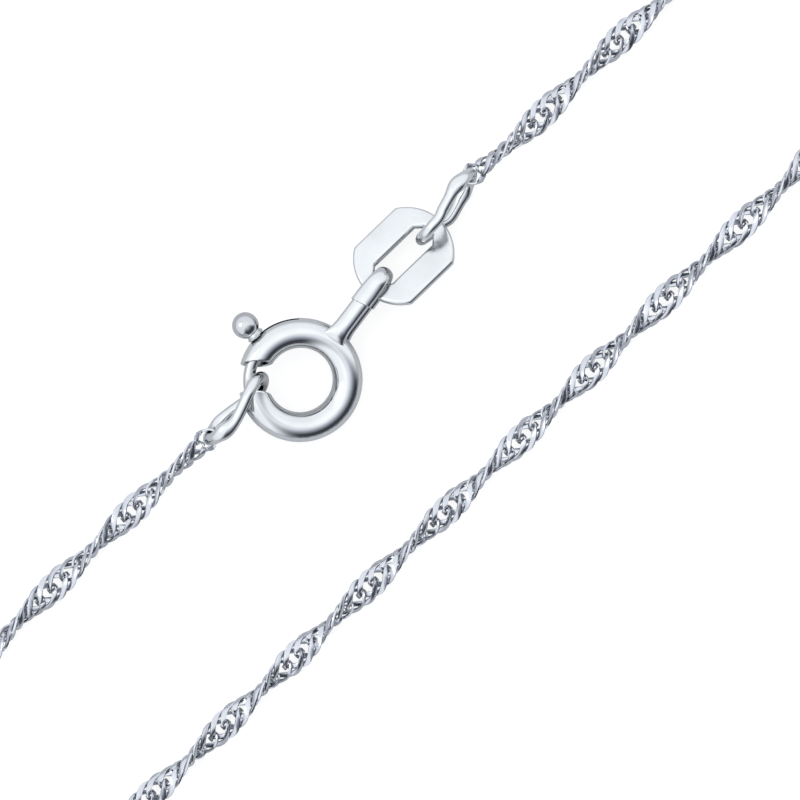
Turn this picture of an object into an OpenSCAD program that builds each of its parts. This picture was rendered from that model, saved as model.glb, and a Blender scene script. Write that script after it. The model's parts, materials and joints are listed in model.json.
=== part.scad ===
// Singapore chain necklace with a spring ring clasp, lying flat as one closed loop.
// Millimetres. Origin: middle of the loop, on the surface that it lies on.
// X runs along the two close strands, Y across them, Z is up.

/* [Spring ring] */
// Outer diameter of the spring ring
ring_d = 6.0; // [5.6:0.1:6.6]
// Diameter of the ring's tube
tube_d = 1.44; // [1.4:0.02:1.5]
// Thickness of the tube's wall
tube_wall = 0.18; // [0.14:0.01:0.19]
// Width of the sawn gap that the gate closes
gap_w = 1.36; // [1.2:0.02:1.44]
// Angle from the eye to the middle of the gap
gap_angle = 125; // [115:1:130]
// Lean of the saw cut from upright
gap_lean = 20; // [10:1:24]
// Turn of the ring's eye away from the strands
ring_turn = 9; // [5:1:12]
// Tilt of the ring, whose gap side lies on the end ring
ring_tilt = 10.5; // [9:0.5:12]
// How far the middle of the ring lies inside the near strand
ring_inset = 1.1; // [0.9:0.05:1.3]

/* [Eye] */
// How far the soldered eye reaches beyond the ring
eye_l = 3.82; // [3.6:0.02:4.2]
// Height of the eye's loop
eye_h = 2.0; // [1.9:0.05:2.2]
// Thickness of the eye's flattened wire
eye_wire = 0.58; // [0.5:0.02:0.6]
// Width of the eye's flattened wire
eye_width = 0.86; // [0.7:0.02:0.9]
// Lean of the eye's loop against the ring
eye_roll = 17; // [10:0.5:20]

/* [Gate] */
// Diameter of the sliding gate wire
gate_wire = 0.58; // [0.4:0.02:0.6]
// How far the gate wire lies outside the middle of the tube
gate_offset = 0.18; // [0:0.02:0.2]
// How far the closed gate reaches into the far end of the tube, in degrees
gate_entry = 5; // [3:0.5:8]
// Angle from the eye to the thumb ball
ball_angle = 82; // [78:1:88]
// Diameter of the thumb ball
ball_d = 1.29; // [1.1:0.02:1.4]
// Distance of the ball's middle outside the ring
ball_out = 0.75; // [0.7:0.01:1.0]
// Diameter of the stem that carries the ball
stem_d = 0.5; // [0.4:0.02:0.6]
// Diameter of the stem's foot outside the ring
foot_d = 0.9; // [0.7:0.02:1.0]

/* [Tag] */
// Length of the tag
tag_l = 4.94; // [4.8:0.02:5.4]
// Width of the tag across its two straight sides
tag_w = 4.1; // [3.8:0.02:4.3]
// Thickness of the tag
tag_t = 0.45; // [0.4:0.01:0.5]
// Length of the tag's slot
slot_l = 3.46; // [3.2:0.02:3.6]
// Width of the tag's slot
slot_w = 1.3; // [1.2:0.02:1.5]
// Cut-off corners of the slot
slot_corner = 0.4; // [0.2:0.02:0.5]
// Lean of the tag about its length
tag_roll = 20; // [15:1:22]
// Fall of the tag towards the chain
tag_pitch = 4; // [2:0.5:5]

/* [End rings] */
// Length of the oval ring at each end of the chain
end_ring_l = 4.45; // [4.2:0.05:4.8]
// Height of the oval ring
end_ring_h = 2.88; // [2.8:0.02:3.0]
// Diameter of the oval ring's wire
end_wire = 0.56; // [0.5:0.02:0.58]
// Lean of the oval ring beside the tag
tag_ring_roll = 12; // [8:1:16]
// Turn of the oval ring beside the tag
tag_ring_turn = 10; // [7:1:12]
// Lean of the oval ring on the gate
gate_ring_roll = 4; // [0:1:8]
// Turn of the oval ring on the gate
gate_ring_turn = 5; // [1:1:6]

/* [Chain] */
// Width of the twisted chain
chain_d = 1.4; // [1.2:0.05:1.5]
// Distance between the two close strands
strand_pitch = 10.5; // [10:0.1:11]

/* [Hidden] */
$fn = 64;

// Clearances
rest_gap = 0.01;        // between the lowest pieces and the surface
seat_gap = 0.05;        // between pieces that carry each other
stem_gap = 0.06;        // round the stem in its slot
eye_seat = 0.22;        // from the tag's left bar to the turn of the eye
end_seat = 0.3;         // from the tag's right bar to the turn of the oval ring
gate_seat = 0.64;       // from the gate wire's middle to the inside of the end ring

// Places of the pieces
ring_x = -2.77;         // of the ring's middle, beside the middle of the loop
tag_ring_inset = 0.1;   // of the middle of the oval ring beside the tag, inside the near strand
eye_sink = 0.3;         // of the eye's wire ends, outside the middle of the tube
eye_shift = -0.18;      // of the eye, sideways along the ring
gate_heel = 5;          // degrees of gate wire behind the stem
start_rise = 0.5;       // of the chain's ends above its strands

// Ring, in its own frame: the ring lies in XY, its eye points along +X
ring_r = (ring_d - tube_d) / 2;
bore_d = tube_d - 2 * tube_wall;
gate_r = ring_r + gate_offset;
gap_half_angle = asin(gap_w / 2 / gate_r);
gate_tip = gap_angle + gap_half_angle + gate_entry;
gate_travel = 2 * gap_half_angle + gate_entry;
ball_reach = ring_d / 2 + ball_out;
slot_end = asin((stem_d / 2 + stem_gap) / ring_r);
eye_r = (eye_h - eye_wire) / 2;
eye_root = ring_r + eye_sink;
eye_end = ring_d / 2 + eye_l - eye_wire / 2;
eye_straight = eye_end - eye_r - eye_root;

// Where the ring lies: the middle of the ring in the loop's frame
strand_y = strand_pitch / 2;
ring_at = [ring_x, strand_y - ring_inset, tube_d / 2 + ring_r * sin(ring_tilt) + rest_gap];
eye_tip = from_ring([eye_end, eye_shift, 0]);

// Tag, hung in the eye by its left bar
bar_w = (tag_l - slot_l) / 2;
bar_x = slot_l / 2 + bar_w / 2;
tag_at = eye_tip + [slot_l / 2 - eye_wire / 2 - eye_seat, 0, -bar_x * sin(tag_pitch)];

// Oval end rings: one round the tag's right bar, one round the gate
end_ring_r = (end_ring_h - end_wire) / 2;
end_ring_reach = (end_ring_l - end_wire) / 2;
tag_ring_at = [tag_at.x + slot_l / 2 - end_seat - end_wire / 2 + end_ring_reach,
               strand_y - tag_ring_inset, end_ring_height(tag_ring_roll)];
gate_cross_x = ring_x - sqrt(pow(gate_r, 2) - pow(ring_inset / cos(ring_tilt), 2));
gate_ring_at = [gate_cross_x + gate_seat + end_wire / 2 - end_ring_reach,
                strand_y, end_ring_height(gate_ring_roll)];

// Route of the chain, from the oval rings round the two lobes to the middle of the far strand
chain_r = chain_d / 2;
start_out = end_ring_l / 2 + seat_gap;
right_start = tag_ring_at + start_out * [cos(tag_ring_turn), sin(tag_ring_turn), 0];
left_start = gate_ring_at - start_out * [cos(gate_ring_turn), sin(gate_ring_turn), 0];
lead_in = [[13, 0.15], [15, 0], [19.5, 0]];          // x of the near strand's points and their rise
half_lobe = [[24, strand_y], [32.5, 6.1], [40.7, 8.5], [48.1, 12.4], [54, 17], [59.2, 20.9],
             [65.1, 23.5], [71.3, 24.4], [77.5, 23.6], [83.3, 21.1], [88.3, 17.2], [92.2, 12.2],
             [94.6, 6.3]];
lobe_end = [95.4, 0];
far_strand = [20, 15, 10, 5, 0];                     // x of the far strand's points
lobe = concat(half_lobe, [lobe_end],
              [for (i = [len(half_lobe) - 1:-1:0]) [half_lobe[i].x, -half_lobe[i].y]]);
loop_half = concat([for (p = lead_in) [p[0], strand_y, chain_r + p[1]]],
                   [for (p = lobe) [p.x, p.y, chain_r]],
                   [for (x = far_strand) [x, -strand_y, chain_r]]);
route_right = concat([[right_start.x, right_start.y, chain_r + start_rise]], loop_half);
route_left = concat([[left_start.x, left_start.y, chain_r + start_rise]],
                    [for (p = loop_half) [-p.x, p.y, p.z]]);
chain_sides = 8;

// Height of an oval ring's middle when its lower side touches the surface
function end_ring_height(roll) = end_ring_r * cos(roll) + end_wire / 2 + rest_gap;

// A point of the ring's frame, in the loop's frame
function turned_z(p, a) = [p.x * cos(a) - p.y * sin(a), p.x * sin(a) + p.y * cos(a), p.z];
function tilted_x(p, a) = [p.x, p.y * cos(a) - p.z * sin(a), p.y * sin(a) + p.z * cos(a)];
function from_ring(p) = ring_at + tilted_x(turned_z(p, ring_turn), ring_tilt);

// Sweep of a round section along a route
function unit(v) = v / norm(v);
function heading(path, i) = unit(path[min(i + 1, len(path) - 1)] - path[max(i - 1, 0)]);
function section(centre, along, r, sides) =
    let (side = unit(cross([0, 0, 1], along)), up = cross(along, side))
    [for (k = [0:sides - 1]) centre + r * (cos(360 * k / sides) * side + sin(360 * k / sides) * up)];

module tube_along(path, r, sides) {
    last = len(path) - 1;
    points = [for (i = [0:last]) each section(path[i], heading(path, i), r, sides)];
    walls = [for (i = [0:last - 1], k = [0:sides - 1])
             [i * sides + k, (i + 1) * sides + k,
              (i + 1) * sides + (k + 1) % sides, i * sides + (k + 1) % sides]];
    start_cap = [for (k = [0:sides - 1]) k];
    end_cap = [for (k = [sides - 1:-1:0]) last * sides + k];
    polyhedron(points, concat(walls, [start_cap, end_cap]), convexity = 10);
}

// Part of a torus round Z, from one angle to another
module arc_rod(r, d, from, to) {
    rotate([0, 0, from]) rotate_extrude(angle = to - from) translate([r, 0]) circle(d = d);
}

// Half turn of wire in the XZ plane that bulges towards +X
module wire_turn(r, d) {
    rotate([90, 0, 0]) arc_rod(r, d, -90, 90);
}

// Closed oval of wire in the XZ plane, long along X
module wire_oval(l, h, d) {
    r = (h - d) / 2;
    straight = l - h;
    for (flip = [0, 180]) rotate([0, 0, flip]) translate([straight / 2, 0, 0]) wire_turn(r, d);
    for (z = [-r, r]) translate([-straight / 2, 0, z]) rotate([0, 90, 0]) cylinder(h = straight, d = d);
}

module at_ring() {
    translate(ring_at) rotate([ring_tilt, 0, 0]) rotate([0, 0, ring_turn]) children();
}

// Wire loop that is soldered over the outside of the ring and holds the tag
module eye() {
    translate([0, eye_shift, 0]) rotate([-eye_roll, 0, 0]) scale([1, eye_width / eye_wire, 1]) {
        translate([eye_end - eye_r, 0, 0]) wire_turn(eye_r, eye_wire);
        for (z = [-eye_r, eye_r]) translate([eye_root, 0, z]) {
            rotate([0, 90, 0]) cylinder(h = eye_straight, d = eye_wire);
            sphere(d = eye_wire);
        }
    }
}

// Gap for the gate, slot for the stem, and the bore that the gate slides in
module ring_openings() {
    rotate_extrude() translate([ring_r, 0]) circle(d = bore_d);
    rotate([gap_lean, 0, gap_angle]) translate([0, -gap_w / 2, -tube_d]) cube([ring_d, gap_w, 2 * tube_d]);
    rotate([0, 0, ball_angle - gate_travel - slot_end])
        rotate_extrude(angle = gate_travel + 2 * slot_end)
            translate([ring_r, -stem_d / 2 - stem_gap]) square([tube_d, stem_d + 2 * stem_gap]);
}

module ring_body() {
    color("silver") at_ring() difference() {
        union() {
            rotate_extrude() translate([ring_r, 0]) circle(d = tube_d);
            eye();
        }
        ring_openings();
    }
}

module gate() {
    foot_from = ring_d / 2 + stem_gap;
    color("gainsboro") at_ring() {
        arc_rod(gate_r, gate_wire, ball_angle - gate_heel, gate_tip);
        rotate([0, 0, ball_angle]) {
            translate([gate_r, 0, 0]) rotate([0, 90, 0]) cylinder(h = ball_reach - gate_r, d = stem_d);
            translate([foot_from, 0, 0]) rotate([0, 90, 0])
                cylinder(h = ball_reach - foot_from, d1 = foot_d, d2 = stem_d);
            translate([ball_reach, 0, 0]) sphere(d = ball_d);
        }
    }
}

// Outline of the slot, a rectangle with cut corners
module slot_outline() {
    x = slot_l / 2;
    y = slot_w / 2;
    c = slot_corner;
    polygon([[x, c - y], [x, y - c], [x - c, y], [c - x, y],
             [-x, y - c], [-x, c - y], [c - x, -y], [x - c, -y]]);
}

module tag() {
    color("lightgray") translate(tag_at) rotate([-tag_roll, tag_pitch, 0])
        linear_extrude(tag_t, center = true) difference() {
            intersection() {
                circle(d = tag_l);
                square([tag_l, tag_w], center = true);
            }
            slot_outline();
        }
}

module end_ring_tag() {
    color("silver") translate(tag_ring_at) rotate([-tag_ring_roll, 0, tag_ring_turn])
        wire_oval(end_ring_l, end_ring_h, end_wire);
}

module end_ring_gate() {
    color("silver") translate(gate_ring_at) rotate([-gate_ring_roll, 0, gate_ring_turn])
        wire_oval(end_ring_l, end_ring_h, end_wire);
}

module chain_right() {
    color("gainsboro") tube_along(route_right, chain_r, chain_sides);
}

module chain_left() {
    color("gainsboro") tube_along(route_left, chain_r, chain_sides);
}

ring_body();
gate();
tag();
end_ring_tag();
end_ring_gate();
chain_right();
chain_left();
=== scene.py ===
"""Polished silver chain necklace with a spring ring clasp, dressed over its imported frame."""

import json
import math

import bmesh
import bpy
import numpy as np
from bpy.props import FloatProperty, FloatVectorProperty, PointerProperty
from mathutils import Matrix, Vector


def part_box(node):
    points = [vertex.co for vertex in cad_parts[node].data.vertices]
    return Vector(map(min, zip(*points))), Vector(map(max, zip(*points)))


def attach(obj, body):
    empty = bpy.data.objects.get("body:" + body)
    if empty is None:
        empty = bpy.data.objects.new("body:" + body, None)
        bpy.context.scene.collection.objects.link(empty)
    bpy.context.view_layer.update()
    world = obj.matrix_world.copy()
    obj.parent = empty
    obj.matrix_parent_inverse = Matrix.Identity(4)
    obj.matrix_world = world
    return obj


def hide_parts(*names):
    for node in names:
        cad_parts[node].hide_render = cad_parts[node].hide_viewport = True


bl_info = {
    "name": "Singapore Chain Necklace",
    "version": (1, 0, 0),
    "blender": (4, 5, 0),
    "location": "3D View > Sidebar > Necklace",
    "description": "Makes a twisted chain, its end rings, a tag and a spring ring clasp",
    "category": "Object",
}

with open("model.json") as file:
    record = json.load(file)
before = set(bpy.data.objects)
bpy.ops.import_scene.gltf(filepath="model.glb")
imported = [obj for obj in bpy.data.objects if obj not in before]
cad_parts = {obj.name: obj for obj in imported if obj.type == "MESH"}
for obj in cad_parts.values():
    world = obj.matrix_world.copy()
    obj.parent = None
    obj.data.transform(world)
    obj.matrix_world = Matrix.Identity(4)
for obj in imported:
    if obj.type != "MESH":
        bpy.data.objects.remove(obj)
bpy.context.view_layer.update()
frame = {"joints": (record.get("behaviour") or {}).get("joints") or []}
HINGE = frame["joints"][0]

# The chain's route in metres, the same points as the source's: LEAD_IN holds distance along and rise, and
# HALF_LOBE distance along and across, from the near strand to the end of one lobe
STRAND_Y, STRAND_REACH = 0.00525, 0.026
CHAIN_Z = 0.0007
LEAD_IN = [(0.013, 0.00015), (0.015, 0.0), (0.0195, 0.0)]
HALF_LOBE = [(0.024, STRAND_Y), (0.0325, 0.0061), (0.0407, 0.0085), (0.0481, 0.0124), (0.054, 0.017),
             (0.0592, 0.0209), (0.0651, 0.0235), (0.0713, 0.0244), (0.0775, 0.0236), (0.0833, 0.0211),
             (0.0883, 0.0172), (0.0922, 0.0122), (0.0946, 0.0063)]
LOBE_END = (0.0954, 0.0)
FAR_STRAND = [0.02, 0.015, 0.01, 0.005]

# Where the last link of each half lies in the far strand, so that the halves interlock
LAST_LINK_X = {"chain_right": 0.000419, "chain_left": -0.000405}

# Where the ribbon of links stands on edge, along each strand, from its clasp end
EDGE_NEAR_RIGHT = [0.0119, 0.01725, 0.0225]
EDGE_FAR_RIGHT = [0.02025, 0.0151, 0.00995, 0.0053, 0.0005, -0.00465]
EDGE_NEAR_LEFT = [-0.0103, -0.01545, -0.0207]
EDGE_FAR_LEFT = [-0.0193, -0.0145, -0.00985, -0.00465, 0.0005, 0.0053]

# Where the first link holds the end ring's wire: the height in metres, and in mm how far its end stands off it
HOOK_Z, HOOK_CLEAR = 0.00118, 0.18

# How the end rings are bent: distance along and across from the middle of each, in mm, and lean in degrees
BENT_BY_TAG = [(-1.93, -0.20, 3), (-0.76, -0.20, 5), (-0.22, -0.15, 12), (0.38, 0.02, 13), (0.98, 0.23, 11.5),
               (1.88, 0.38, 9)]
BENT_BY_GATE = [(-2.2, -0.08, -12.5), (-1.15, -0.14, -12.5), (-0.35, -0.11, -12.5), (0.94, 0.03, 4), (1.6, 0.16, 13),
                (1.98, 0.25, 13)]

# How far the end rings have slid from the middle of their solids, in mm
END_RING_SLID = {"end_ring_tag": 0.0, "end_ring_gate": 0.05}

# The eye's strap, from the ring to its turn: distance from the ring's middle, half width and half thickness in mm
STRAP = [(2.45, 0.62, 0.06), (2.6, 0.59, 0.15), (2.8, 0.53, 0.23), (3.05, 0.47, 0.28), (3.3, 0.43, 0.29),
         (4.0, 0.42, 0.29), (4.68, 0.425, 0.29), (4.72, 0.51, 0.33), (4.8, 0.50, 0.315), (5.3, 0.50, 0.30),
         (5.9, 0.46, 0.29), (6.6, 0.39, 0.29)]
SEAM, SEAM_SLANT = 4.7, 0.2
EYE_SHIFT = -0.18

# The gate, in mm: its wire's distance outside the middle of the tube, the radii of its stem and foot, the stem's
# clearance in its slot, and how far outside the ring its foot and the middle of its ball stand
GATE_OFFSET, STEM, FOOT, STEM_CLEAR = 0.18, 0.2, 0.45, 0.045
FOOT_OUT, BALL_OUT = 0.02, 0.75
# How far the gate wire reaches into the tube behind its stem and beyond the gap, in degrees
GATE_HEEL, GATE_ENTRY = 5, 5

# Width of the tag's rubbed edges, in mm
RUBBED_EDGE = 0.17

# The studio's brightness by height, from the horizon at 0 to overhead at 1, on its two sides
BRIGHT_SIDE = [(0.0, 0.55), (0.08, 0.68), (0.4, 0.80), (0.7, 0.80), (0.9, 0.88), (1.0, 0.92)]
DARK_SIDE = [(0.0, 0.08), (0.20, 0.05), (0.46, 0.035), (0.63, 0.15), (0.77, 0.30), (0.87, 0.50), (0.94, 0.68),
             (1.0, 0.92)]

# The floor's depth under the necklace and the middle of the picture, in metres
FLOOR_Z = -0.00002
PICTURE_MIDDLE = (0.0, 0.0001375, 0.001)


def millimetres(value):
    return value * 0.001


class ChainSettings(bpy.types.PropertyGroup):
    spacing: FloatProperty(name="Link spacing", description="Distance from one link to the next",
                           default=0.000824, min=0.0006, max=0.0012, precision=6, unit="LENGTH")
    half_turn: FloatProperty(name="Half turn", description="Length of chain in which the ribbon turns over",
                             default=0.00494, min=0.003, max=0.009, precision=5, unit="LENGTH")
    length: FloatProperty(name="Link length", description="Length of a link along the middle of its wire",
                          default=0.00206, min=0.0016, max=0.0026, precision=5, unit="LENGTH")
    width: FloatProperty(name="Link width", description="Width of a link along the middle of its wire",
                         default=0.00114, min=0.0008, max=0.0016, precision=5, unit="LENGTH")
    wire_width: FloatProperty(name="Wire width", description="Width of the flattened wire",
                              default=0.00026, min=0.00012, max=0.0004, precision=5, unit="LENGTH")
    wire_thickness: FloatProperty(name="Wire thickness", description="Thickness of the flattened wire",
                                  default=0.000116, min=0.00008, max=0.0004, precision=5, unit="LENGTH")
    link_twist: FloatProperty(name="Link twist", description="Twist from the middle of a link to its end",
                              default=math.radians(98), min=0.0, max=math.pi, subtype="ANGLE")
    hook_twist: FloatProperty(name="Hook twist", description="Twist of the first link's half in the end ring",
                              default=math.radians(60), min=0.0, max=math.radians(120), subtype="ANGLE")
    flatness: FloatProperty(name="Flatness", description="How much of the twist's depth is left after rolling",
                            default=0.72, min=0.4, max=1.0)
    close_reach: FloatProperty(name="Close-up reach", description="Half length of the strands made with fine links",
                               default=0.0255, min=0.0, max=0.1, unit="LENGTH")


class ClaspSettings(bpy.types.PropertyGroup):
    ring_diameter: FloatProperty(name="Ring diameter", description="Outer diameter of the spring ring",
                                 default=0.006, min=0.0055, max=0.0066, precision=5, unit="LENGTH")
    tube_diameter: FloatProperty(name="Tube diameter", description="Diameter of the ring's tube",
                                 default=0.00144, min=0.0014, max=0.0015, precision=5, unit="LENGTH")
    tube_wall: FloatProperty(name="Tube wall", description="Thickness of the tube's wall",
                             default=0.00018, min=0.00012, max=0.0002, precision=5, unit="LENGTH")
    gap_width: FloatProperty(name="Gap width", description="Width of the sawn gap",
                             default=0.00136, min=0.0012, max=0.00144, precision=5, unit="LENGTH")
    gap_angle: FloatProperty(name="Gap angle", description="Angle from the eye to the gap",
                             default=math.radians(125), subtype="ANGLE")
    gap_lean: FloatProperty(name="Gap lean", description="Lean of the saw cut",
                            default=math.radians(20), subtype="ANGLE")
    ring_turn: FloatProperty(name="Ring turn", description="Turn of the eye away from the strands",
                             default=math.radians(9), subtype="ANGLE")
    eye_reach: FloatProperty(name="Eye reach", description="How far the eye reaches beyond the ring",
                             default=0.00382, precision=5, unit="LENGTH")
    eye_height: FloatProperty(name="Eye height", description="Height of the eye's loop",
                              default=0.002, precision=5, unit="LENGTH")
    eye_wire: FloatProperty(name="Eye wire", description="Thickness of the eye's wire",
                            default=0.00058, precision=5, unit="LENGTH")
    eye_roll: FloatProperty(name="Eye lean", description="Lean of the eye's loop",
                            default=math.radians(17), subtype="ANGLE")
    gate_wire: FloatProperty(name="Gate wire", description="Diameter of the sliding gate wire",
                             default=0.00058, precision=5, unit="LENGTH")
    ball_diameter: FloatProperty(name="Ball diameter", description="Diameter of the thumb ball",
                                 default=0.00129, precision=5, unit="LENGTH")
    ball_angle: FloatProperty(name="Ball angle", description="Angle from the eye to the thumb ball",
                              default=math.radians(82), subtype="ANGLE")


class FittingSettings(bpy.types.PropertyGroup):
    tag_length: FloatProperty(name="Tag length", description="Length of the tag",
                              default=0.00494, precision=5, unit="LENGTH")
    tag_width: FloatProperty(name="Tag width", description="Width of the tag across its straight sides",
                             default=0.0041, precision=5, unit="LENGTH")
    tag_thickness: FloatProperty(name="Tag thickness", description="Thickness of the tag",
                                 default=0.00045, precision=5, unit="LENGTH")
    slot_length: FloatProperty(name="Slot length", description="Length of the tag's slot",
                               default=0.00346, precision=5, unit="LENGTH")
    slot_width: FloatProperty(name="Slot width", description="Width of the tag's slot",
                              default=0.0013, precision=5, unit="LENGTH")
    slot_corner: FloatProperty(name="Slot corner", description="Cut-off corner of the slot",
                               default=0.0004, precision=5, unit="LENGTH")
    tag_roll: FloatProperty(name="Tag lean", description="Lean of the tag about its length",
                            default=math.radians(20), subtype="ANGLE")
    tag_pitch: FloatProperty(name="Tag fall", description="Fall of the tag towards the chain",
                             default=math.radians(4), subtype="ANGLE")
    oval_length: FloatProperty(name="End ring length", description="Length of the oval end rings",
                               default=0.00445, precision=5, unit="LENGTH")
    oval_height: FloatProperty(name="End ring height", description="Height of the oval end rings",
                               default=0.00288, precision=5, unit="LENGTH")
    oval_wire: FloatProperty(name="End ring wire", description="Diameter of the end rings' wire",
                             default=0.00056, precision=5, unit="LENGTH")


class SilverSettings(bpy.types.PropertyGroup):
    colour: FloatVectorProperty(name="Silver", description="Colour of the clasp's polished silver",
                                default=(0.63, 0.648, 0.650), subtype="COLOR", min=0.0, max=1.0)
    # The gate's silver is darker than the clasp's as painted shade: it stands in for the shade and dark reflections
    # inside the ring's gap
    gate_colour_painted_shade: FloatVectorProperty(name="Gate silver with painted shade", description="Colour of the gate's silver, less bright",
                                     default=(0.53, 0.542, 0.550), subtype="COLOR", min=0.0, max=1.0)
    link_colour: FloatVectorProperty(name="Link silver", description="Colour of the links' silver",
                                     default=(0.555, 0.575, 0.61), subtype="COLOR", min=0.0, max=1.0)
    dulled: FloatProperty(name="Dulled", description="How bright the silver is where it has dulled a little",
                          default=0.9, min=0.0, max=1.0)
    clasp_roughness: FloatProperty(name="Clasp roughness", description="Roughness of the clasp's polish",
                                   default=0.10, min=0.0, max=1.0)
    link_roughness: FloatProperty(name="Link roughness", description="Roughness of the cut faces of the links",
                                  default=0.17, min=0.0, max=1.0)
    tag_roughness: FloatProperty(name="Tag roughness", description="Roughness of the tag's rubbed faces",
                                 default=0.2, min=0.0, max=1.0)


class StageSettings(bpy.types.PropertyGroup):
    view_width: FloatProperty(name="View width", description="Width of what the camera shows",
                              default=0.0384, unit="LENGTH")
    view_roll: FloatProperty(name="View roll", description="Angle at which the strands run through the picture",
                             default=math.radians(44.05), subtype="ANGLE")
    lens: FloatProperty(name="Lens", description="Focal length of the camera",
                        default=180.0, min=20.0, max=400.0)
    sky_strength: FloatProperty(name="Sky strength", description="Strength of the studio's light",
                                default=1.75, min=0.0, max=10.0)
    gap_side: FloatProperty(name="Dark side", description="Bearing of the studio's dark gap, from straight below",
                            default=math.radians(-2), subtype="ANGLE")
    gap_width: FloatProperty(name="Dark width", description="Width of the studio's dark gap, from edge to edge",
                             default=math.radians(126), subtype="ANGLE")
    floor_colour: FloatVectorProperty(name="Floor", description="Colour of the floor",
                                      default=(0.22, 0.22, 0.22), subtype="COLOR", min=0.0, max=1.0)
    floor_glow: FloatProperty(name="Floor glow", description="Light of the lit table under the necklace",
                              default=0.82, min=0.0, max=2.0)
    floor_mirrored: FloatVectorProperty(name="Mirrored floor", description="Colour of the floor in the silver",
                                        default=(0.60, 0.605, 0.62), subtype="COLOR", min=0.0, max=1.0)


# Shapes

def unit(v):
    return v / np.linalg.norm(v, axis=-1, keepdims=True)


def turned(points, axis, angle):
    """Points turned about one of the three axes through the origin."""
    return np.asarray(points, float) @ np.array(Matrix.Rotation(angle, 3, axis)).T


def smooth_line(knots, step=0.0004):
    """A smooth curve through the knots, as points about a step apart."""
    knots = np.asarray(knots, float)
    ends = np.vstack([2 * knots[0] - knots[1], knots, 2 * knots[-1] - knots[-2]])
    points = []
    for a, b, c, d in zip(ends, ends[1:], ends[2:], ends[3:]):
        for t in np.linspace(0, 1, max(2, math.ceil(np.linalg.norm(c - b) / step)), endpoint=False):
            points.append(0.5 * (2 * b + (c - a) * t + (2 * a - 5 * b + 4 * c - d) * t ** 2
                                 + (3 * b - a - 3 * c + d) * t ** 3))
    points.append(knots[-1])
    return np.array(points)


def band(a, b, sides):
    """The quads between two rings of points, which start at the points a and b."""
    return [(a + k, a + (k + 1) % sides, b + (k + 1) % sides, b + k) for k in range(sides)]


def wire(line, high, hint, sides=24, closed=False, wide=None):
    """A wire along a line: rings of points, joined by quads, with caps where it is open.

    wide: half the wire's width along the hint, where it isn't round; high: half its size the other way."""
    line = np.asarray(line, float)
    high = np.broadcast_to(high, len(line))
    wide = high if wide is None else np.broadcast_to(wide, len(line))
    if closed:
        along = unit(np.roll(line, -1, 0) - np.roll(line, 1, 0))
    else:
        along = unit(np.gradient(line, axis=0))
    hint = np.broadcast_to(np.asarray(hint, float), line.shape)
    across = unit(hint - (hint * along).sum(1, keepdims=True) * along)
    up = np.cross(along, across)
    turn = np.linspace(0, 2 * math.pi, sides, endpoint=False)
    rings = (line[:, None] + (wide[:, None] * np.cos(turn))[..., None] * across[:, None]
             + (high[:, None] * np.sin(turn))[..., None] * up[:, None])
    points = rings.reshape(-1, 3)
    steps = len(line) if closed else len(line) - 1
    faces = []
    for i in range(steps):
        a, b = i * sides, (i + 1) % len(line) * sides
        faces += band(a, b, sides)
    if not closed:
        last = (len(line) - 1) * sides
        faces += [tuple(range(sides - 1, -1, -1)), tuple(range(last, last + sides))]
    return points, faces


def rounded_ends(line, radius, steps=6):
    """A line and its radii with a dome of small steps added at both ends."""
    line = np.asarray(line, float)
    back, front = unit(line[0] - line[1]), unit(line[-1] - line[-2])
    bend = np.linspace(0, math.pi / 2, steps + 1)[1:]
    reach, width = np.sin(bend) * radius, np.cos(bend) * radius
    width[-1] = radius * 0.05
    start = line[0] + reach[::-1, None] * back
    end = line[-1] + reach[:, None] * front
    radii = np.concatenate([width[::-1], np.full(len(line), radius), width])
    return np.vstack([start, line, end]), radii


def lathe(profile, sides=40):
    """A closed shape turned about X from points of distance along X and radius, its ends on the axis."""
    turn = np.linspace(0, 2 * math.pi, sides, endpoint=False)
    inner = profile[1:-1]
    points = [(profile[0][0], 0.0, 0.0)]
    points += [(x, r * math.cos(a), r * math.sin(a)) for x, r in inner for a in turn]
    points.append((profile[-1][0], 0.0, 0.0))
    top = len(points) - 1
    faces = [(0, 1 + (k + 1) % sides, 1 + k) for k in range(sides)]
    for i in range(len(inner) - 1):
        a, b = 1 + i * sides, 1 + (i + 1) * sides
        faces += band(a, b, sides)
    last = 1 + (len(inner) - 1) * sides
    faces += [(top, last + k, last + (k + 1) % sides) for k in range(sides)]
    return np.array(points), faces


def made(name, points, faces, smooth_angle=30):
    """A mesh object with its faces turned outwards and its corners kept crisp."""
    mesh = bpy.data.meshes.new(name)
    mesh.from_pydata(np.asarray(points).tolist(), [], faces)
    work = bmesh.new()
    work.from_mesh(mesh)
    bmesh.ops.remove_doubles(work, verts=work.verts, dist=1e-8)
    bmesh.ops.recalc_face_normals(work, faces=work.faces)
    work.to_mesh(mesh)
    work.free()
    mesh.shade_smooth()
    mesh.set_sharp_from_angle(angle=math.radians(smooth_angle))
    piece = bpy.data.objects.new(name, mesh)
    bpy.context.scene.collection.objects.link(piece)
    return piece


def evaluated(piece):
    """The piece's mesh becomes what its modifiers make of it, and the modifiers go."""
    bpy.context.view_layer.update()
    old = piece.data
    mesh = bpy.data.meshes.new_from_object(piece.evaluated_get(bpy.context.evaluated_depsgraph_get()))
    piece.modifiers.clear()
    piece.data = mesh
    bpy.data.meshes.remove(old)
    mesh.name = piece.name
    return piece


def combined(piece, other, operation, smooth_angle=30):
    """The piece joined with another solid, or cut by it."""
    step = piece.modifiers.new(operation.title(), "BOOLEAN")
    step.operation = operation
    step.solver = "EXACT"
    step.object = other
    evaluated(piece)
    bpy.data.objects.remove(other)
    piece.data.shade_smooth()
    piece.data.set_sharp_from_angle(angle=math.radians(smooth_angle))
    return piece


def finished(piece, material, body, *nodes):
    """Gives a piece its finish, the body it moves with and the frame's nodes that it stands for."""
    piece.data.materials.clear()
    piece.data.materials.append(material)
    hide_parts(*nodes)
    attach(piece, body)
    return piece


# Finishes

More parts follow.
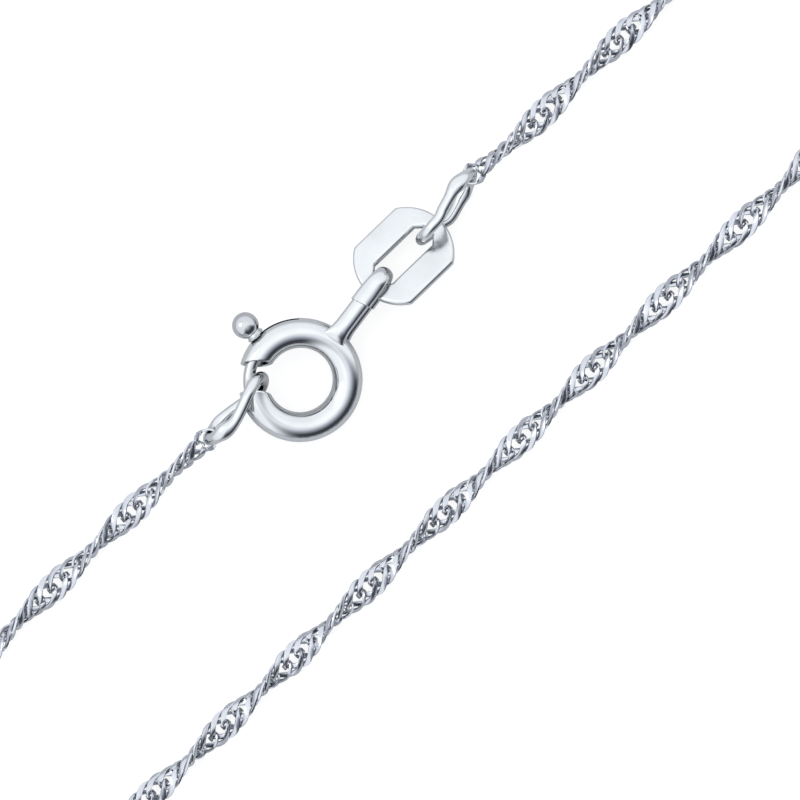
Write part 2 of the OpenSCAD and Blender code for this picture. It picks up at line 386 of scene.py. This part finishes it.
def node(tree, kind, inputs=None, **settings):
    """A node added to a tree, with its settings, and with its inputs set to values or joined to outputs."""
    added = tree.nodes.new(kind)
    for key, value in settings.items():
        setattr(added, key, value)
    for key, value in (inputs or {}).items():
        if isinstance(value, bpy.types.NodeSocket):
            tree.links.new(value, added.inputs[key])
        else:
            added.inputs[key].default_value = value
    return added


def new_material(name):
    """A material with its node tree and its main shader."""
    material = bpy.data.materials.new(name)
    material.use_nodes = True
    return material, material.node_tree, material.node_tree.nodes["Principled BSDF"]


def silver(name, colour, roughness, grain, stretch, relief):
    """Polished silver: slightly dulled patches, uneven polish and fine rubbing marks.

    grain: how fine the marks are; stretch: their scale along each axis; relief: their depth in metres."""
    dulled = bpy.context.scene.necklace_silver.dulled
    material, tree, shader = new_material(name)
    shader.inputs["Metallic"].default_value = 1.0
    place = node(tree, "ShaderNodeTexCoord").outputs["Object"]

    patches = node(tree, "ShaderNodeTexNoise", {"Vector": place, "Scale": 500.0, "Detail": 3.0})
    metal = node(tree, "ShaderNodeValToRGB", {"Fac": patches.outputs["Fac"]})
    dull, bright = metal.color_ramp.elements
    dull.position, dull.color = 0.3, (*(dulled * part for part in colour), 1)
    bright.position, bright.color = 0.62, (*colour, 1)

    stretched = node(tree, "ShaderNodeMapping", {"Vector": place, "Scale": stretch})
    marks = node(tree, "ShaderNodeTexNoise", {"Vector": stretched.outputs["Vector"], "Scale": grain, "Detail": 4.0,
                                              "Roughness": 0.65})
    polish = node(tree, "ShaderNodeMapRange", {"Value": marks.outputs["Fac"], "From Min": 0.3, "From Max": 0.7,
                                               "To Min": roughness * 0.65, "To Max": roughness * 1.5})
    bump = node(tree, "ShaderNodeBump", {"Height": marks.outputs["Fac"], "Strength": 0.1, "Distance": relief})
    tree.links.new(metal.outputs["Color"], shader.inputs["Base Color"])
    tree.links.new(polish.outputs["Result"], shader.inputs["Roughness"])
    tree.links.new(bump.outputs["Normal"], shader.inputs["Normal"])
    return material


# Spring ring

def ring_place(points):
    """From the ring's own frame, with its eye along +X, to the necklace's."""
    clasp = bpy.context.scene.necklace_clasp
    normal = -Vector(HINGE["axis"])
    tilt = math.atan2(-normal.y, normal.z)
    flat = turned(turned(points, "Z", clasp.ring_turn), "X", tilt)
    return flat + np.array(HINGE["pos_m"])


def cut_angle(side, ring_radius, radius, around, setback):
    """Angle round the ring at which a point of the tube meets one face of the leaning saw cut."""
    clasp = bpy.context.scene.necklace_clasp
    reach = ring_radius + radius * np.cos(around)
    face = side * (clasp.gap_width / 2 + setback)
    return clasp.gap_angle + np.arcsin((face - radius * np.sin(around) * math.sin(clasp.gap_lean))
                                       / (reach * math.cos(clasp.gap_lean)))


def sawn_tube(name, lips, tube_radius, ring_steps=168, sides=48):
    """The bent tube from one face of the gap round to the other, closed at both ends.

    lips: radius and setback of the rings at each end, from the end's middle outwards."""
    clasp = bpy.context.scene.necklace_clasp
    ring_radius = (clasp.ring_diameter - clasp.tube_diameter) / 2
    around = np.linspace(0, 2 * math.pi, sides, endpoint=False)

    def ring(radius, angle):
        reach = ring_radius + radius * np.cos(around)
        return np.stack([reach * np.cos(angle), reach * np.sin(angle), radius * np.sin(around)], 1)

    rings = [ring(r, cut_angle(1, ring_radius, r, around, back)) for r, back in lips]
    first = cut_angle(1, ring_radius, tube_radius, around, lips[-1][1])
    last = cut_angle(-1, ring_radius, tube_radius, around, lips[-1][1]) + 2 * math.pi
    for step in np.linspace(0, 1, ring_steps + 1)[1:-1]:
        rings.append(ring(tube_radius, first + (last - first) * step))
    rings += [ring(r, cut_angle(-1, ring_radius, r, around, back)) for r, back in reversed(lips)]
    faces = []
    for i in range(len(rings) - 1):
        a, b = i * sides, (i + 1) * sides
        faces += band(a, b, sides)
    top = (len(rings) - 1) * sides
    faces += [tuple(range(sides - 1, -1, -1)), tuple(range(top, top + sides))]
    return made(name, ring_place(np.vstack(rings)), faces)


def stem_slot(ring_radius, travel_from, travel_to, half_height, reach):
    """The block that the stem's slot leaves, bent round the ring's outside."""
    angles = np.linspace(travel_from, travel_to, 40)
    points = [(r * math.cos(a), r * math.sin(a), z) for a in angles
              for r, z in ((ring_radius, -half_height), (reach, -half_height),
                           (reach, half_height), (ring_radius, half_height))]
    faces = [(3, 2, 1, 0), tuple(len(points) - 4 + k for k in range(4))]
    for i in range(len(angles) - 1):
        a, b = 4 * i, 4 * i + 4
        faces += band(a, b, 4)
    return made("stem_slot", ring_place(points), faces)


def eye_loop():
    """The eye's strap: from its flat soldered feet on the tube round the loop, broader beyond its slanting seam."""
    clasp = bpy.context.scene.necklace_clasp
    half = (clasp.eye_height - clasp.eye_wire) / 2
    tip = clasp.ring_diameter / 2 + clasp.eye_reach - clasp.eye_wire / 2
    place, wide, high = np.array(STRAP).T * 0.001
    bend = np.linspace(-math.pi / 2, math.pi / 2, 33)
    leg = np.union1d(np.linspace(place[0], tip - half, 40), place[(place > place[0]) & (place < tip - half)])
    spread = half - millimetres(0.12) * np.exp(-(leg - place[0]) / millimetres(0.3))
    line = np.vstack([np.stack([leg, leg * 0, -spread], 1),
                      np.stack([tip - half + half * np.cos(bend), bend * 0, half * np.sin(bend)], 1)[1:-1],
                      np.stack([leg, leg * 0, spread], 1)[::-1]])
    points, faces = wire(line, np.interp(line[:, 0], place, high), (0, 1, 0), sides=36,
                         wide=np.interp(line[:, 0], place, wide))
    seam = millimetres(SEAM)
    points[:, 0] -= SEAM_SLANT * points[:, 1] * np.exp(-((points[:, 0] - seam) / millimetres(0.3)) ** 2)
    soldered = np.exp(-((points[:, 0] - place[0]) / millimetres(0.6)) ** 2)
    leg_y = np.sign(points[:, 2]) * half * math.sin(clasp.eye_roll)
    points = turned(points, "X", -clasp.eye_roll)
    points[:, 2] += soldered * (points[:, 1] - leg_y) * math.tan(clasp.eye_roll)
    return made("eye_loop", ring_place(points + (0, millimetres(EYE_SHIFT), 0)), faces)


class NECKLACE_OT_spring_ring(bpy.types.Operator):
    """Make the spring ring's tube, with its gap, bore, stem slot and soldered eye"""
    bl_idname = "necklace.spring_ring"
    bl_label = "Spring Ring"

    def execute(self, context):
        clasp = context.scene.necklace_clasp
        ring_radius = (clasp.ring_diameter - clasp.tube_diameter) / 2
        tube, bore = clasp.tube_diameter / 2, clasp.tube_diameter / 2 - clasp.tube_wall
        edge = millimetres(0.03)
        outside = [(bore * 0.5, 0.0), (tube - edge, 0.0), (tube - edge * 0.3, edge * 0.3), (tube, edge)]
        inside = [(bore * 0.5, -edge * 3), (bore + edge * 2, -edge * 3), (bore + edge, 0.0), (bore, edge)]
        body = sawn_tube("spring_ring", outside, tube)
        combined(body, eye_loop(), "UNION")
        combined(body, sawn_tube("bore", inside, bore), "DIFFERENCE")
        half_slot = millimetres(STEM) + millimetres(STEM_CLEAR)
        end = math.asin(half_slot / ring_radius)
        travel = math.radians(HINGE["range_deg"][1])
        combined(body, stem_slot(ring_radius, clasp.ball_angle - travel - end, clasp.ball_angle + end,
                                 half_slot, clasp.ring_diameter / 2 + tube), "DIFFERENCE")
        metal = context.scene.necklace_silver
        finish = silver("clasp_silver", metal.colour, metal.clasp_roughness, 2600.0, (1.0, 1.0, 3.0), 0.000004)
        finished(body, finish, "necklace", "ring_body")
        return {"FINISHED"}


class NECKLACE_OT_gate(bpy.types.Operator):
    """Make the sliding gate: its bent wire, its stem and the thumb ball"""
    bl_idname = "necklace.gate"
    bl_label = "Gate"

    def execute(self, context):
        clasp = context.scene.necklace_clasp
        ring_radius = (clasp.ring_diameter - clasp.tube_diameter) / 2
        gate_radius = ring_radius + millimetres(GATE_OFFSET)
        half_gap = math.asin(clasp.gap_width / 2 / gate_radius)
        start = clasp.ball_angle - math.radians(GATE_HEEL)
        end = clasp.gap_angle + half_gap + math.radians(GATE_ENTRY)
        dome = math.asin(clasp.gate_wire / 2 / gate_radius)
        angles = np.linspace(start, end - dome, 72)
        arc = np.stack([gate_radius * np.cos(angles), gate_radius * np.sin(angles), angles * 0], 1)
        line, radii = rounded_ends(arc, clasp.gate_wire / 2)
        points, faces = wire(line, radii, (0, 0, 1), sides=28)
        gate = made("gate_wire", ring_place(points), faces)

        stem, wide, ball = millimetres(STEM), millimetres(FOOT), clasp.ball_diameter / 2
        foot = clasp.ring_diameter / 2 + millimetres(FOOT_OUT)
        middle = clasp.ring_diameter / 2 + millimetres(BALL_OUT)
        meet = math.asin(min(1.0, wide * 0.84 / ball))
        profile = [(gate_radius, 0.0), (gate_radius, stem), (foot, stem), (foot, wide - millimetres(0.03)),
                   (foot + millimetres(0.02), wide), (foot + millimetres(0.07), wide),
                   (foot + millimetres(0.10), wide * 0.93)]
        for bend in np.linspace(math.pi - meet, 0, 30):
            profile.append((middle + ball * math.cos(bend), ball * math.sin(bend)))
        points, faces = lathe(profile, 56)
        knob = made("thumb_ball", ring_place(turned(points, "Z", clasp.ball_angle)), faces)
        combined(gate, knob, "UNION", smooth_angle=28)
        metal = context.scene.necklace_silver
        # The whole gate, wire and thumb ball, gets the darker silver: painted shade for the shade inside the ring's
        # gap
        finish = silver("gate_silver", metal.gate_colour_painted_shade, metal.clasp_roughness * 0.8, 2200.0, (1.0, 1.0, 1.0),
                        0.000003)
        finished(gate, finish, "gate", "gate")
        return {"FINISHED"}


# Tag

def tag_outline(steps=96):
    """Matching points on the tag's outside and on its slot, once round."""
    fittings = bpy.context.scene.necklace_fittings
    radius, flat = fittings.tag_length / 2, fittings.tag_width / 2
    x, y, c = fittings.slot_length / 2, fittings.slot_width / 2, fittings.slot_corner
    corners = [(x, 0), (x, y - c), (x - c, y), (0, y), (c - x, y), (-x, y - c), (-x, 0),
               (-x, c - y), (c - x, -y), (0, -y), (x - c, -y), (x, c - y)]
    edge_x = math.sqrt(radius ** 2 - flat ** 2)
    shoulder = math.atan2(flat, edge_x)
    turns = [0, shoulder * 0.5, shoulder, math.pi / 2, math.pi - shoulder, math.pi - shoulder * 0.5, math.pi,
             math.pi + shoulder * 0.5, math.pi + shoulder, 3 * math.pi / 2, 2 * math.pi - shoulder,
             2 * math.pi - shoulder * 0.5]
    outer, inner = [], []
    count = len(corners)
    for i in range(count):
        ahead = turns[(i + 1) % count] + (2 * math.pi if i == count - 1 else 0)
        for k in range(steps // count):
            share = k / (steps // count)
            a, b = corners[i], corners[(i + 1) % count]
            inner.append((a[0] + (b[0] - a[0]) * share, a[1] + (b[1] - a[1]) * share))
            turn = turns[i] + (ahead - turns[i]) * share
            reach = min(radius, flat / max(abs(math.sin(turn)), 1e-9))
            outer.append((reach * math.cos(turn), reach * math.sin(turn)))
    return outer, inner


class NECKLACE_OT_tag(bpy.types.Operator):
    """Make the slotted tag with its softly rubbed edges"""
    bl_idname = "necklace.tag"
    bl_label = "Tag"

    def execute(self, context):
        fittings = context.scene.necklace_fittings
        outer, inner = tag_outline()
        half = fittings.tag_thickness / 2
        count = len(outer)
        points = [(x, y, z) for z in (half, -half) for ring in (outer, inner) for x, y in ring]
        faces = []
        for k in range(count):
            n = (k + 1) % count
            faces += [(k, n, count + n, count + k),
                      (2 * count + k, 3 * count + k, 3 * count + n, 2 * count + n),
                      (k, 2 * count + k, 2 * count + n, n),
                      (count + k, count + n, 3 * count + n, 3 * count + k)]
        low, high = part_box("tag")
        middle = np.array((low + high) / 2)
        placed = turned(turned(points, "X", -fittings.tag_roll), "Y", fittings.tag_pitch) + middle
        tag = made("tag_plate", placed, faces)
        bevel = tag.modifiers.new("Rubbed edges", "BEVEL")
        bevel.width = millimetres(RUBBED_EDGE)
        bevel.segments = 5
        bevel.limit_method = "ANGLE"
        bevel.angle_limit = math.radians(60)
        evaluated(tag)
        tag.data.shade_smooth()
        tag.data.set_sharp_from_angle(angle=math.radians(40))
        metal = context.scene.necklace_silver
        finish = silver("tag_silver", metal.colour, metal.tag_roughness, 5200.0, (1.0, 0.25, 1.0), 0.000006)
        finished(tag, finish, "necklace", "tag")
        return {"FINISHED"}


# End rings

def end_ring_bend(bends, along):
    """How far across, in metres, and at which lean, in radians, an end ring lies at places along it."""
    smooth = smooth_line(bends, step=0.1)
    return (np.interp(along, smooth[:, 0] * 0.001, smooth[:, 1] * 0.001),
            np.interp(along, smooth[:, 0] * 0.001, np.radians(smooth[:, 2])))


def end_ring_middle(node):
    """The middle of an end ring, where it has slid to."""
    low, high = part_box(node)
    return (low + high) / 2 + Vector((millimetres(END_RING_SLID[node]), 0, 0))


def oval_ring(name, node, bends, solder_end):
    """A soldered oval ring that is bent and wrung a little along its length."""
    fittings = bpy.context.scene.necklace_fittings
    r = (fittings.oval_height - fittings.oval_wire) / 2
    reach = (fittings.oval_length - fittings.oval_wire) / 2
    straight = reach - r
    bend = np.linspace(-math.pi / 2, math.pi / 2, 45)
    side = np.linspace(-straight, straight, 20)[1:-1]
    right = np.stack([straight + r * np.cos(bend), r * np.sin(bend)], 1)
    line = np.vstack([right, np.stack([side[::-1], side * 0 + r], 1), -right, np.stack([side, side * 0 - r], 1)])
    offset, lean = end_ring_bend(bends, line[:, 0])
    points = np.stack([line[:, 0], offset + line[:, 1] * np.sin(lean), line[:, 1] * np.cos(lean)], 1)
    across = np.stack([lean * 0, np.cos(lean), -np.sin(lean)], 1)
    solder = np.exp(-((line[:, 0] - solder_end * reach * 0.55) / millimetres(0.45)) ** 2)
    half_wire = fittings.oval_wire / 2
    points = points + np.array(end_ring_middle(node))
    mesh_points, faces = wire(points, half_wire * (1 + 0.06 * solder), across, sides=28, closed=True,
                              wide=half_wire * (1 + 0.4 * solder))
    return made(name, mesh_points, faces)


class NECKLACE_OT_end_rings(bpy.types.Operator):
    """Make the two oval rings that hold the ends of the chain"""
    bl_idname = "necklace.end_rings"
    bl_label = "End Rings"

    def execute(self, context):
        metal = context.scene.necklace_silver
        finish = silver("end_ring_silver", metal.colour, metal.clasp_roughness * 1.2, 3000.0, (1.0, 1.0, 1.0),
                        0.000004)
        tag_side = oval_ring("end_ring_by_tag", "end_ring_tag", BENT_BY_TAG, 1)
        finished(tag_side, finish, "necklace", "end_ring_tag")
        gate_side = oval_ring("end_ring_by_gate", "end_ring_gate", BENT_BY_GATE, -1)
        finished(gate_side, finish, "necklace", "end_ring_gate")
        return {"FINISHED"}


# Chain

def chain_knots(side, start, last_x):
    """The route's knots of one half: near strand, lobe, far strand, for side 1 on the right, -1 on the left."""
    lobe = HALF_LOBE + [LOBE_END] + [(x, -y) for x, y in reversed(HALF_LOBE)]
    knots = [start]
    knots += [(side * x, STRAND_Y, CHAIN_Z + rise) for x, rise in LEAD_IN]
    knots += [(side * x, y, CHAIN_Z) for x, y in lobe]
    knots += [(side * x, -STRAND_Y, CHAIN_Z) for x in FAR_STRAND]
    return knots + [(last_x, -STRAND_Y, CHAIN_Z)]


def ribbon_turns(points, near, far, half_turn, first_turn):
    """The ribbon's turn at each point: it turns over once from one place on edge to the next.

    near, far: those places along the two strands; first_turn: share of a half turn before the first of them."""
    run = np.concatenate([[0], np.cumsum(np.linalg.norm(np.diff(points, axis=0), axis=1))])
    upper = points[:, 1] > 0

    def run_at(x, strand):
        where = np.flatnonzero(strand)
        order = where[np.argsort(points[where, 0])]
        if points[where, 0].min() <= x <= points[where, 0].max():
            return np.interp(x, points[order, 0], run[order])
        return run[-1] + abs(x - points[-1, 0])

    close = np.abs(points[:, 0]) < STRAND_REACH
    places = [run_at(x, upper & close) for x in near] + [run_at(x, ~upper & close) for x in far]
    turns = [0.5 + k for k in range(len(near))]
    hidden = max(1, round((places[len(near)] - places[len(near) - 1]) / half_turn))
    turns += [turns[-1] + hidden + k for k in range(len(far))]
    places, turns = [0.0] + places, [turns[0] - first_turn] + turns
    return -math.pi * np.interp(run, places, turns)


def link_mesh(name, steps, profile, hooked=False):
    """One link: an oval of flattened wire, wrung about its length until the links lie close.

    The half of a hooked link that holds an end ring is less wrung, and its wire stands on edge."""
    chain = bpy.context.scene.necklace_chain
    turn = np.linspace(0, 2 * math.pi, steps, endpoint=False) + math.pi / steps
    x = chain.length / 2 * np.cos(turn)
    y = chain.width / 2 * np.sin(turn)
    wring = chain.link_twist * np.cos(turn)
    flatness = chain.flatness
    if hooked:
        held = np.clip(-np.cos(turn) / 0.6, 0, 1)
        held = held * held * (3 - 2 * held)
        wring = np.where(x < 0, -chain.hook_twist * held, wring)
        y = y * (1 - 0.02 * held)
        flatness = flatness + (1 - flatness) * held
    line = np.stack([x, y * np.cos(wring), -y * np.sin(wring) * flatness], 1)
    along = unit(np.roll(line, -1, 0) - np.roll(line, 1, 0))
    face = np.stack([-np.cos(turn), turn * 0, np.sin(turn)], 1)
    if hooked:
        inwards = np.stack([-np.cos(turn), -np.sin(turn) * np.cos(wring), np.sin(turn) * np.sin(wring)], 1)
        face = face + (inwards - face) * held[:, None]
    high = unit(face - (face * along).sum(1, keepdims=True) * along)
    across = np.cross(along, high)
    points, faces = [], []
    for centre, a, h in zip(line, across, high):
        points += [centre + a * u * chain.wire_width / 2 + h * v * chain.wire_thickness / 2 for u, v in profile]
    sides = len(profile)
    for i in range(steps):
        a, b = i * sides, (i + 1) % steps * sides
        faces += band(a, b, sides)
    return made(name, points, faces, smooth_angle=35)


def links_along_route():
    """Node tree that sets links along a route: a hooked one first, then fine ones, and plain ones far off."""
    tree = bpy.data.node_groups.new("Links Along Route", "GeometryNodeTree")
    sockets = {}
    for label, kind in (("Geometry", "Geometry"), ("Route", "Object"), ("Hook Link", "Object"),
                        ("Fine Link", "Object"), ("Plain Link", "Object"), ("Link Spacing", "Float"),
                        ("Close Reach", "Float"), ("Silver", "Material")):
        item = tree.interface.new_socket(label, in_out="INPUT", socket_type="NodeSocket" + kind)
        sockets[label] = item.identifier
    tree.interface.new_socket("Geometry", in_out="OUTPUT", socket_type="NodeSocketGeometry")

    given = node(tree, "NodeGroupInput").outputs
    way = node(tree, "GeometryNodeObjectInfo", {"Object": given["Route"]}, transform_space="RELATIVE")
    route = way.outputs["Geometry"]
    length = node(tree, "GeometryNodeCurveLength", {"Curve": route})
    share = node(tree, "ShaderNodeMath", {0: length.outputs["Length"], 1: given["Link Spacing"]}, operation="DIVIDE")
    whole = node(tree, "ShaderNodeMath", {0: share.outputs[0]}, operation="ROUND")
    count = node(tree, "ShaderNodeMath", {0: whole.outputs[0], 1: 1.0}, operation="ADD")
    places = node(tree, "GeometryNodeResampleCurve", {"Curve": route, "Count": count.outputs[0]}, mode="COUNT")

    tangent, normal = node(tree, "GeometryNodeInputTangent"), node(tree, "GeometryNodeInputNormal")
    ahead = node(tree, "FunctionNodeAlignRotationToVector", {"Vector": tangent.outputs["Tangent"]}, axis="X")
    rolled = node(tree, "FunctionNodeAlignRotationToVector",
                  {"Rotation": ahead.outputs["Rotation"], "Vector": normal.outputs["Normal"]},
                  axis="Y", pivot_axis="X")

    position, index = node(tree, "GeometryNodeInputPosition"), node(tree, "GeometryNodeInputIndex")
    split = node(tree, "ShaderNodeSeparateXYZ", {"Vector": position.outputs["Position"]})
    off_middle = node(tree, "ShaderNodeMath", {0: split.outputs["X"]}, operation="ABSOLUTE")
    first = node(tree, "FunctionNodeCompare", {"A": index.outputs["Index"], "B": 0.5},
                 data_type="FLOAT", operation="LESS_THAN")
    chosen = [("Hook Link", first.outputs["Result"])]
    for label, compare in (("Fine Link", "LESS_THAN"), ("Plain Link", "GREATER_EQUAL")):
        near = node(tree, "FunctionNodeCompare", {"A": off_middle.outputs[0], "B": given["Close Reach"]},
                    data_type="FLOAT", operation=compare)
        others = node(tree, "FunctionNodeBooleanMath", {0: near.outputs["Result"], 1: first.outputs["Result"]},
                      operation="NIMPLY")
        chosen.append((label, others.outputs["Boolean"]))

    joined = node(tree, "GeometryNodeJoinGeometry")
    for label, selection in chosen:
        link = node(tree, "GeometryNodeObjectInfo", {"Object": given[label]}, transform_space="ORIGINAL")
        placed = node(tree, "GeometryNodeInstanceOnPoints",
                      {"Points": places.outputs["Curve"], "Selection": selection,
                       "Instance": link.outputs["Geometry"], "Rotation": rolled.outputs["Rotation"]})
        tree.links.new(placed.outputs["Instances"], joined.inputs["Geometry"])
    solid = node(tree, "GeometryNodeRealizeInstances", {"Geometry": joined.outputs["Geometry"]})
    painted = node(tree, "GeometryNodeSetMaterial",
                   {"Geometry": solid.outputs["Geometry"], "Material": given["Silver"]})
    node(tree, "NodeGroupOutput", {"Geometry": painted.outputs["Geometry"]})
    return tree, sockets


class NECKLACE_OT_chain(bpy.types.Operator):
    """Make the twisted chain, link by link, in two halves that meet in the far strand"""
    bl_idname = "necklace.chain"
    bl_label = "Chain"

    def execute(self, context):
        chain = context.scene.necklace_chain
        fittings = context.scene.necklace_fittings
        metal = context.scene.necklace_silver
        finish = silver("link_silver", metal.link_colour, metal.link_roughness, 3600.0, (1.0, 1.0, 1.0), 0.000004)
        c = 0.7  # of the section's half size, where its cut corners begin
        chamfered = [(1, c), (c, 1), (-c, 1), (-1, c), (-1, -c), (-c, -1), (c, -1), (1, -c)]
        hooked = link_mesh("hook_link", 40, chamfered, hooked=True)
        fine = link_mesh("fine_link", 40, chamfered)
        plain = link_mesh("plain_link", 14, [(1, 1), (-1, 1), (-1, -1), (1, -1)])
        tree, sockets = links_along_route()
        reach = (fittings.oval_length - fittings.oval_wire) / 2
        hook = chain.length / 2 - fittings.oval_wire / 2 - millimetres(HOOK_CLEAR)
        halves = (("chain_right", 1, "end_ring_tag", BENT_BY_TAG, EDGE_NEAR_RIGHT, EDGE_FAR_RIGHT, 0.17),
                  ("chain_left", -1, "end_ring_gate", BENT_BY_GATE, EDGE_NEAR_LEFT, EDGE_FAR_LEFT, 0.18))
        for name, side, end_ring, bends, near, far, first_turn in halves:
            middle = end_ring_middle(end_ring)
            offset, lean = end_ring_bend(bends, side * reach)
            across = float(offset + (HOOK_Z - middle.z) * np.tan(lean))
            held = Vector((middle.x + side * reach, middle.y + across, HOOK_Z))
            ahead = Vector((side * LEAD_IN[0][0], STRAND_Y, CHAIN_Z + LEAD_IN[0][1]))
            start = held + (ahead - held).normalized() * hook
            points = smooth_line(chain_knots(side, start, LAST_LINK_X[name]))
            turns = ribbon_turns(points, near, far, chain.half_turn, first_turn)
            route = bpy.data.curves.new(name + "_route", "CURVE")
            route.dimensions = "3D"
            route.twist_mode = "Z_UP"
            spline = route.splines.new("POLY")
            spline.points.add(len(points) - 1)
            for knot, place, angle in zip(spline.points, points, turns):
                knot.co = (*place, 1.0)
                knot.tilt = angle
            way = bpy.data.objects.new(route.name, route)
            context.scene.collection.objects.link(way)
            links = bpy.data.objects.new(name + "_links", bpy.data.meshes.new(name + "_links"))
            context.scene.collection.objects.link(links)
            step = links.modifiers.new("Links", "NODES")
            step.node_group = tree
            for label, value in (("Route", way), ("Hook Link", hooked), ("Fine Link", fine), ("Plain Link", plain),
                                 ("Link Spacing", chain.spacing), ("Close Reach", chain.close_reach),
                                 ("Silver", finish)):
                step[sockets[label]] = value
            evaluated(links)
            finished(links, finish, "necklace", name)
            bpy.data.objects.remove(way)
        for link in (hooked, fine, plain):
            bpy.data.objects.remove(link)
        return {"FINISHED"}


# Stage

def studio_sky(world):
    """A bright studio with a dark gap low down on the side towards the foot of the picture."""
    stage = bpy.context.scene.necklace_stage
    world.use_nodes = True
    tree = world.node_tree
    place = node(tree, "ShaderNodeTexCoord").outputs["Generated"]
    split = node(tree, "ShaderNodeSeparateXYZ", {"Vector": place})

    def bands(heights):
        ramp = node(tree, "ShaderNodeValToRGB", {"Fac": split.outputs["Z"]})
        for k, (height, light) in enumerate(heights):
            mark = ramp.color_ramp.elements[k] if k < 2 else ramp.color_ramp.elements.new(height)
            mark.position = height
            shade = 1 - light
            tint = (0.985 - 0.08 * shade, 0.995 - 0.03 * shade, 1 + 0.18 * shade)
            mark.color = (*(light * part for part in tint), 1)
        return ramp.outputs["Color"]

    level = node(tree, "ShaderNodeVectorMath", {0: place, 1: (1.0, 1.0, 0.0)}, operation="MULTIPLY")
    bearing = node(tree, "ShaderNodeVectorMath", {0: level.outputs["Vector"]}, operation="NORMALIZE")
    gap = (math.sin(stage.gap_side), -math.cos(stage.gap_side), 0.0)
    towards = node(tree, "ShaderNodeVectorMath", {0: bearing.outputs["Vector"], 1: gap}, operation="DOT_PRODUCT")
    share = node(tree, "ShaderNodeMapRange",
                 {"Value": towards.outputs["Value"], "From Min": math.cos(stage.gap_width / 2),
                  "From Max": math.cos(stage.gap_width / 4)}, interpolation_type="SMOOTHSTEP")
    mix = node(tree, "ShaderNodeMix", {"Factor": share.outputs["Result"], "A": bands(BRIGHT_SIDE),
                                       "B": bands(DARK_SIDE)}, data_type="RGBA")
    background = tree.nodes["Background"].inputs
    tree.links.new(mix.outputs["Result"], background["Color"])
    background["Strength"].default_value = stage.sky_strength


def pale_floor():
    """The lit table's paper: white in the picture, and a greyer colour where the silver mirrors it."""
    stage = bpy.context.scene.necklace_stage
    material, tree, shader = new_material("pale_floor")
    shader.inputs["Roughness"].default_value = 0.9
    shader.inputs["Emission Color"].default_value = (1, 1, 1, 1)
    seen = node(tree, "ShaderNodeLightPath").outputs["Is Camera Ray"]
    glow = node(tree, "ShaderNodeMath", {0: seen, 1: stage.floor_glow}, operation="MULTIPLY")
    colour = node(tree, "ShaderNodeMix", {"Factor": seen, "A": (*stage.floor_mirrored, 1),
                                          "B": (*stage.floor_colour, 1)}, data_type="RGBA")
    tree.links.new(glow.outputs["Value"], shader.inputs["Emission Strength"])
    tree.links.new(colour.outputs["Result"], shader.inputs["Base Color"])
    return material


class NECKLACE_OT_stage(bpy.types.Operator):
    """Make the floor, the studio light and the camera"""
    bl_idname = "necklace.stage"
    bl_label = "Stage"

    def execute(self, context):
        stage = context.scene.necklace_stage
        turn = np.linspace(0, 2 * math.pi, 96, endpoint=False)
        rim = [(1.4 * math.cos(a), 1.4 * math.sin(a), FLOOR_Z) for a in turn]
        floor = made("floor", rim, [tuple(range(len(rim)))])
        floor.data.materials.append(pale_floor())

        context.scene.world = bpy.data.worlds.new("studio")
        studio_sky(context.scene.world)
        lamp = bpy.data.lights.new("soft_box", "AREA")
        lamp.size = 0.3
        lamp.energy = 0.6
        box = bpy.data.objects.new("soft_box", lamp)
        box.location = (-0.3, 0.34, 0.5)
        box.rotation_euler = (Vector((0, 0, 0)) - box.location).to_track_quat("-Z", "Y").to_euler()
        context.scene.collection.objects.link(box)

        view = bpy.data.cameras.new("camera")
        view.lens = stage.lens
        view.clip_start = 0.001
        camera = bpy.data.objects.new("camera", view)
        distance = stage.view_width * stage.lens / view.sensor_width
        camera.location = Vector(PICTURE_MIDDLE) + Vector((0, 0, distance))
        camera.rotation_euler = (0.0, 0.0, -stage.view_roll)
        context.scene.collection.objects.link(camera)
        context.scene.camera = camera
        context.scene.view_settings.view_transform = "Standard"
        return {"FINISHED"}


class NECKLACE_PT_panel(bpy.types.Panel):
    """The necklace's sizes, colours and pieces"""
    bl_idname = "NECKLACE_PT_panel"
    bl_label = "Necklace"
    bl_space_type = "VIEW_3D"
    bl_region_type = "UI"
    bl_category = "Necklace"

    def draw(self, context):
        for group in GROUPS:
            box = self.layout.box()
            box.label(text=group.removeprefix("necklace_").title())
            settings = getattr(context.scene, group)
            for key in settings.bl_rna.properties.keys():
                if key not in ("rna_type", "name"):
                    box.prop(settings, key)
        for operator in OPERATORS:
            self.layout.operator(operator.bl_idname)


GROUPS = {"necklace_chain": ChainSettings, "necklace_clasp": ClaspSettings,
          "necklace_fittings": FittingSettings, "necklace_silver": SilverSettings,
          "necklace_stage": StageSettings}
OPERATORS = (NECKLACE_OT_stage, NECKLACE_OT_spring_ring, NECKLACE_OT_gate, NECKLACE_OT_tag,
             NECKLACE_OT_end_rings, NECKLACE_OT_chain)


def register():
    for group in GROUPS.values():
        bpy.utils.register_class(group)
    for operator in OPERATORS:
        bpy.utils.register_class(operator)
    bpy.utils.register_class(NECKLACE_PT_panel)
    for name, group in GROUPS.items():
        setattr(bpy.types.Scene, name, PointerProperty(type=group))


def unregister():
    for name in GROUPS:
        delattr(bpy.types.Scene, name)
    bpy.utils.unregister_class(NECKLACE_PT_panel)
    for operator in reversed(OPERATORS):
        bpy.utils.unregister_class(operator)
    for group in reversed(GROUPS.values()):
        bpy.utils.unregister_class(group)


def main():
    register()
    bpy.ops.necklace.stage()
    bpy.ops.necklace.spring_ring()
    bpy.ops.necklace.gate()
    bpy.ops.necklace.tag()
    bpy.ops.necklace.end_rings()
    bpy.ops.necklace.chain()


if __name__ == "__main__":
    main()
